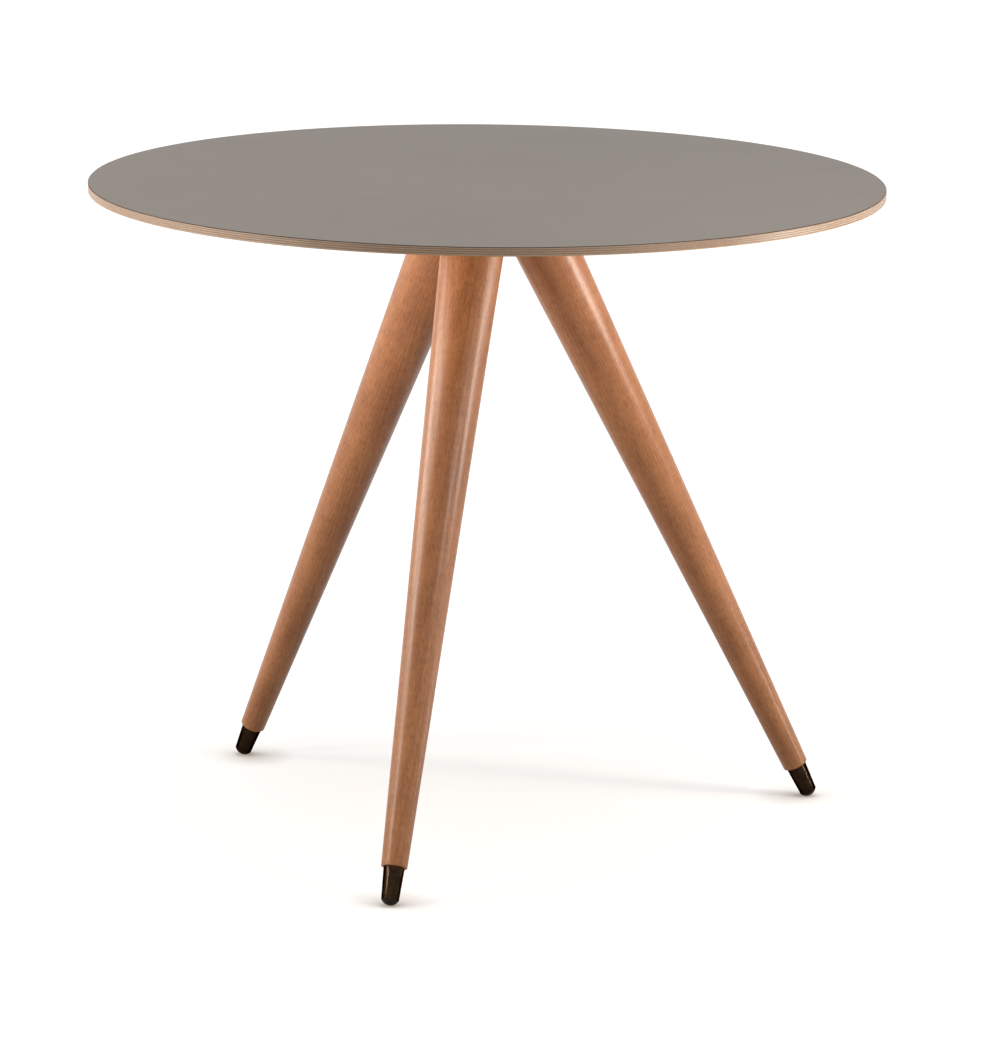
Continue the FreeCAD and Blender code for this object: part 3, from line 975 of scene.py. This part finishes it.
# %% Hub finish
HUB_PLY = 1.5 * MM
HUB_PALE = colour(206, 172, 136)
HUB_DARK = colour(168, 128, 92)
HUB_RELIEF = 0.02 * MM


def hub_finish():
    material, desk = new_finish("hub_plywood_lacquered", Specular_IOR_Level=0.4)
    place = laid_out(desk)
    facing = desk.add("ShaderNodeNewGeometry").out("True Normal")
    up = split(desk, facing).out("Z")
    flat = fade(desk, desk.sum("ABSOLUTE", up), 0.97, 0.99)
    level = (split(desk, place).out("Z") - HUB_UNDERSIDE) / HUB_PLY
    dark_ply = fade(desk, desk.sum("PINGPONG", level, 1.0), 0.44, 0.56)
    streaks = noise(desk, place, 120.0, 4.0, 0.65, along=20.0)
    plies = mix(desk, dark_ply * 0.7 + streaks * 0.3, HUB_PALE, HUB_DARK)
    across = laid_out(desk, Matrix.Rotation(math.pi / 2, 4, "X"))
    face, fibres, _ = beech(desk, across, VENEER_PALE, VENEER_WARM, VENEER_FLECK)
    base = mix(desk, flat, plies, face)
    roughness = 0.42 + fibres * 0.12 + dark_ply * 0.04
    return dressed(material, desk, base, roughness, bumped(desk, fibres + streaks, HUB_RELIEF, 0.4))


def put_on(node, finish):
    """Gives a solid of the frame a finish in each of its slots."""
    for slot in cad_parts[node].material_slots:
        slot.material = finish


put_on("hub_disc", hub_finish())
print("finish on the hub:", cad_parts["hub_disc"].material_slots[0].material.name)

# %% [markdown]
# Zinc plate is a bright, slightly bluish metal. The coat grows in small crystals, so the gloss
# changes from spot to spot, and handling dulls it. The fluted dowels are bare beech, with no
# lacquer, so they are the dullest wood of all.

# %% Finishes of the hidden fixings
ZINC_BRIGHT = colour(206, 207, 212)
ZINC_DULL = colour(172, 174, 180)
ZINC_RELIEF = 0.01 * MM
DOWEL_PALE = colour(213, 182, 144)
DOWEL_WARM = colour(196, 158, 116)
DOWEL_FLECK = colour(160, 116, 80)
DOWEL_RELIEF = 0.03 * MM


def zinc_finish():
    material, desk = new_finish("zinc_plate", Metallic=1.0)
    place = laid_out(desk)
    crystals = desk.add("ShaderNodeTexVoronoi", {}, {"Vector": place, "Scale": 1100.0})
    dulling = noise(desk, place, 150.0, 4.0, 0.6)
    share = fade(desk, crystals * 0.4 + dulling * 0.6, 0.3, 0.6)
    base = mix(desk, share, ZINC_BRIGHT, ZINC_DULL)
    return dressed(material, desk, base, 0.26 + share * 0.16, bumped(desk, dulling, ZINC_RELIEF, 0.3))


def dowel_finish():
    material, desk = new_finish("bare_beech", Specular_IOR_Level=0.3)
    place = laid_out(desk)
    ground, fibres, _ = beech(desk, place, DOWEL_PALE, DOWEL_WARM, DOWEL_FLECK)
    normal = bumped(desk, fibres, DOWEL_RELIEF, 0.6)
    return dressed(material, desk, ground, 0.62 + fibres * 0.14, normal)


ZINC = zinc_finish()
for node in ("leg_bolts", "bolt_washers", "leg_sleeves", "glide_nails"):
    put_on(node, ZINC)
put_on("leg_dowels", dowel_finish())
print("finish on the fixings:", ZINC.name)

# %% [markdown]
# Nine countersunk wood screws hold the hub to the top, and their heads show in the hub's thin rim
# from below. Like the legs, a screw is turned on the lathe. Its thread is a row of ribs and not a
# helix, because the wood hides it.

# %% Outline of a screw
SCREW_HEAD_RADIUS = 4.5 * MM
SCREW_HEAD_HEIGHT = 2.7 * MM
SCREW_CORE_RADIUS = 1.6 * MM
SCREW_CREST_RADIUS = 2.2 * MM
SCREW_TIP_LENGTH = 3.0 * MM
SCREW_HEAD_ROUNDING = 0.15 * MM
THREAD_PITCH = 1.8 * MM
THREAD_RIBS = 5
RIB_FLANK_SHARE = 0.35


def screw_corners(size):
    """The half outline of a screw that points up from its head."""
    corners = [
        (0.0, 0.0, 0.0),
        (size["Head Radius"], 0.0, size["Rounding"]),
        (size["Core Radius"], size["Head Height"], 0.0),
    ]
    tip_start = size["Length"] - size["Tip Length"]
    for rib in reversed(range(THREAD_RIBS)):
        crest = tip_start - size["Pitch"] * (rib + 0.5)
        flank = size["Pitch"] * RIB_FLANK_SHARE
        corners.append((size["Core Radius"], crest - flank, 0.0))
        corners.append((size["Crest Radius"], crest, 0.0))
        corners.append((size["Core Radius"], crest + flank, 0.0))
    corners.append((size["Core Radius"], tip_start, 0.0))
    corners.append((0.0, size["Length"], 0.0))
    return corners


# %% [markdown]
# A driver's cross is cut into the head with a Boolean. The tree then sets a copy of the screw on
# each point of a circle and gives every copy a turn of its own, as a hand-driven screw has.

# %% Circle of screws
SCREW_COUNT = 9
SCREW_SIDES = 32
CROSS_WIDTH = 4.4 * MM
CROSS_SLOT = 0.9 * MM
CROSS_DEPTH = 1.8 * MM
SCREW_SEED = 4


def cross_tool(desk, size):
    """Two crossed bars, half of them below the head's face, to cut the driver's cross."""
    long = size["Cross Width"]
    slim = size["Cross Slot"]
    tall = size["Cross Depth"] * 2
    extents = [joined(desk, X=long, Y=slim, Z=tall), joined(desk, X=slim, Y=long, Z=tall)]
    return [desk.add("GeometryNodeMeshCube", {}, {"Size": extent}) for extent in extents]


def circle_of_screws(desk, size):
    """Screws on a circle, heads down, each with a turn of its own."""
    screw = turned(desk, size["Sides"], screw_corners(size))
    welded = desk.add("GeometryNodeMergeByDistance", {}, {"Geometry": screw, "Distance": WELD_DISTANCE})
    cut = desk.tree.nodes.new("GeometryNodeMeshBoolean")
    cut.operation = "DIFFERENCE"
    cut.solver = "MANIFOLD"
    desk.lead(welded, cut.inputs["Mesh 1"])
    for bar in cross_tool(desk, size):
        desk.lead(bar, cut.inputs["Mesh 2"])
    sockets = {"Vertices": size["Screws"], "Radius": size["Circle Radius"]}
    circle = desk.add("GeometryNodeMeshCircle", {}, sockets)
    raised = joined(desk, Z=size["Head Level"])
    round_axis = joined(desk, Z=size["First Turn"])
    sockets = {"Geometry": circle, "Translation": raised, "Rotation": round_axis}
    places = desk.add("GeometryNodeTransform", {}, sockets)
    own_turn = desk.add(
        "FunctionNodeRandomValue", {"data_type": "FLOAT"}, {"Max": FULL_TURN, "Seed": size["Seed"]}, 1
    )
    own_turn = joined(desk, Z=own_turn)
    sockets = {"Points": places, "Instance": Wire(desk, cut.outputs["Mesh"]), "Rotation": own_turn}
    return desk.add("GeometryNodeInstanceOnPoints", {}, sockets)


def make_screws():
    low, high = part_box("hub_screws")
    values = {
        "Head Radius": SCREW_HEAD_RADIUS,
        "Head Height": SCREW_HEAD_HEIGHT,
        "Core Radius": SCREW_CORE_RADIUS,
        "Crest Radius": SCREW_CREST_RADIUS,
        "Length": high.z - low.z,
        "Tip Length": SCREW_TIP_LENGTH,
        "Pitch": THREAD_PITCH,
        "Rounding": SCREW_HEAD_ROUNDING,
        "Cross Width": CROSS_WIDTH,
        "Cross Slot": CROSS_SLOT,
        "Cross Depth": CROSS_DEPTH,
        "Circle Radius": reach("hub_screws") - SCREW_HEAD_RADIUS,
        "Head Level": low.z,
        "First Turn": FRONT_AZIMUTH + math.pi / SCREW_COUNT,
        "Sides": SCREW_SIDES,
        "Screws": SCREW_COUNT,
        "Seed": SCREW_SEED,
        "Finish": ZINC,
    }
    upright_piece("countersunk_screws", circle_of_screws, values, ["hub_screws"])


make_screws()

# %% [markdown]
# The light is plain studio light. The sky is a soft dome that shines almost only from overhead, so
# that it lights the top evenly and leaves the sides to the soft boxes. The camera, and everything
# that mirrors, sees a plain white background.

# %% Sky
SKY_LOW = 0.01
SKY_HIGH = 4.0
SKY_GATHER = 12
SKY_COLOUR = (1.0, 0.985, 0.965, 1.0)
WHITE = (1.0, 1.0, 1.0, 1.0)


def seen_share(desk):
    """1 for the rays that should see the white background, 0 for the rays that bring light."""
    path = desk.add("ShaderNodeLightPath")
    seen = desk.sum("MAXIMUM", path.out("Is Camera Ray"), path.out("Is Glossy Ray"))
    return desk.sum("MAXIMUM", seen, path.out("Is Transmission Ray"))


def make_sky():
    world = bpy.data.worlds.new("studio")
    world.use_nodes = True
    world.node_tree.nodes.clear()
    desk = Desk(world.node_tree)
    bpy.context.scene.world = world
    direction = desk.add("ShaderNodeTexCoord").out("Generated")
    height = desk.sum("MAXIMUM", split(desk, direction).out("Z"), 0.0)
    strength = SKY_LOW + SKY_HIGH * height**SKY_GATHER
    dome = desk.add("ShaderNodeBackground", {}, {"Color": SKY_COLOUR, "Strength": strength})
    white = desk.add("ShaderNodeBackground", {}, {"Color": WHITE, "Strength": 1.0})
    both = desk.add("ShaderNodeMixShader", {}, {0: seen_share(desk), 1: dome, 2: white})
    desk.lead(both, desk.add("ShaderNodeOutputWorld").inputs["Surface"])


make_sky()
print("sky from", SKY_LOW, "at the horizon to", SKY_HIGH, "overhead")

# %% [markdown]
# A turned leg shows that it is round by the long highlights that soft boxes leave on it. Four boxes
# stand round the table at about the height of the top, low enough to look under it. Two hang close
# to the legs' heads, where the top shades everything that stands further off. A high one lights the
# right end of the rim. Two small ones are for the feet: one near the floor, and a brighter one that
# draws the gold line on the front tube. Each box has a turn in degrees, counted from the camera's
# side round to the right, and a place and a size in metres. Its radiance is how bright it looks,
# whatever its size.

# %% Soft boxes
TABLE_MIDDLE = Vector((0.0, 0.0, 0.45))
WARM = (1.0, 0.93, 0.85)
NEUTRAL = (1.0, 0.985, 0.96)
CAMERA_SIDE = FRONT_AZIMUTH + CAMERA_AZIMUTH


def soft_box(name, turn, distance, height, width, tall, radiance, tint=WARM):
    """A glowing sheet that faces the table, or shines level if it hangs under the top."""
    azimuth = CAMERA_SIDE + math.radians(turn)
    aim = TABLE_MIDDLE if distance > TOP_RADIUS else Vector((0.0, 0.0, height))
    light = bpy.data.lights.new(name, "AREA")
    light.shape = "RECTANGLE"
    light.size = width
    light.size_y = tall
    light.energy = radiance * math.pi * width * tall
    light.color = tint
    lamp = new_object(name, light)
    lamp.location = (distance * math.cos(azimuth), distance * math.sin(azimuth), height)
    lamp.rotation_euler = (aim - lamp.location).to_track_quat("-Z", "Y").to_euler()
    lamp.visible_camera = False
    print(f"{name}: {light.energy:.2f} W at", tuple(round(x, 2) for x in lamp.location))


soft_box("left_box", turn=-98, distance=1.9, height=0.86, width=0.55, tall=0.32, radiance=23)
soft_box("front_left_box", turn=-72, distance=1.7, height=0.86, width=0.40, tall=0.26, radiance=28)
soft_box("right_box", turn=76, distance=1.2, height=0.67, width=0.18, tall=0.15, radiance=60)
soft_box("left_head_box", turn=-60, distance=0.42, height=0.685, width=0.24, tall=0.07, radiance=10)
soft_box("right_head_box", turn=82, distance=0.42, height=0.655, width=0.19, tall=0.08, radiance=10)
soft_box("front_right_box", turn=40, distance=1.05, height=0.78, width=0.30, tall=0.12, radiance=19)
soft_box(
    "high_right_box", turn=72, distance=2.2, height=2.5, width=1.0, tall=0.8, radiance=8, tint=NEUTRAL
)
soft_box("low_right_strip", turn=89, distance=1.2, height=0.05, width=0.05, tall=0.08, radiance=90)
soft_box("foot_box", turn=-52, distance=1.2, height=0.42, width=0.04, tall=0.09, radiance=200)

# %% [markdown]
# The floor is a wide pale sheet. It keeps the shadows of the legs and feet near the table, and
# further off nearly all that the camera sees of it is its own white, so that it runs into the
# background without an edge. Right at each foot, a shadow is painted into that white, darker where
# little of the room is open to the floor. The light that the floor gives back to the table is
# that of a grey sheet.

# %% Floor
FLOOR_HALF = 30.0
FLOOR_PALE = (0.25, 0.245, 0.24, 1.0)
FLOOR_SEEN = (1.0, 0.995, 0.985, 1.0)
FLOOR_OWN_NEAR = 0.55
FLOOR_OWN_FAR = 0.95
NEAR_REACH = 0.42
FAR_REACH = 0.66
FLOOR_GLOW = 1.17
CONTACT_REACH = 0.05
CONTACT_SAMPLES = 8
CONTACT_SHARE = 2.5
# The colour of the shadow that is painted into the floor's own white at the feet.
PAINTED_CONTACT_SHADOW = (0.42, 0.36, 0.31, 1.0)


def floor_finish():
    material, desk = new_finish("studio_floor", Roughness=0.9, Specular_IOR_Level=0.0)
    surface = material.node_tree.nodes["Principled BSDF"]
    place = laid_out(desk)
    grain = noise(desk, place, 40.0, 3.0)
    seen = desk.add("ShaderNodeLightPath").out("Is Camera Ray")
    tone = mix(desk, seen, FLOOR_PALE, FLOOR_SEEN)
    desk.lead(mix(desk, grain * 0.01, tone, FLOOR_SEEN), surface.inputs["Base Color"])
    settings = {"samples": CONTACT_SAMPLES}
    # Painted contact shadow: where ambient occlusion finds the feet close, the floor's own white is
    # darkened towards the shadow colour.
    openness = desk.add("ShaderNodeAmbientOcclusion", settings, {"Distance": CONTACT_REACH}, "AO")
    white = mix(desk, (1 - openness) * CONTACT_SHARE, WHITE, PAINTED_CONTACT_SHADOW)
    glow = desk.add("ShaderNodeEmission", {}, {"Color": white, "Strength": FLOOR_GLOW})
    away = fade(desk, from_the_middle(desk, split(desk, place)), NEAR_REACH, FAR_REACH)
    own_white = FLOOR_OWN_NEAR + away * (FLOOR_OWN_FAR - FLOOR_OWN_NEAR)
    lit = Wire(desk, surface.outputs["BSDF"])
    both = desk.add("ShaderNodeMixShader", {}, {0: seen_share(desk) * own_white, 1: lit, 2: glow})
    desk.lead(both, material.node_tree.nodes["Material Output"].inputs["Surface"])
    return material


def make_floor():
    mesh = bpy.data.meshes.new("studio_floor")
    sides = ((-1, -1), (1, -1), (1, 1), (-1, 1))
    corners = [(x * FLOOR_HALF, y * FLOOR_HALF, 0.0) for x, y in sides]
    mesh.from_pydata(corners, [], [(0, 1, 2, 3)])
    mesh.materials.append(floor_finish())
    floor = new_object("studio_floor", mesh)


make_floor()
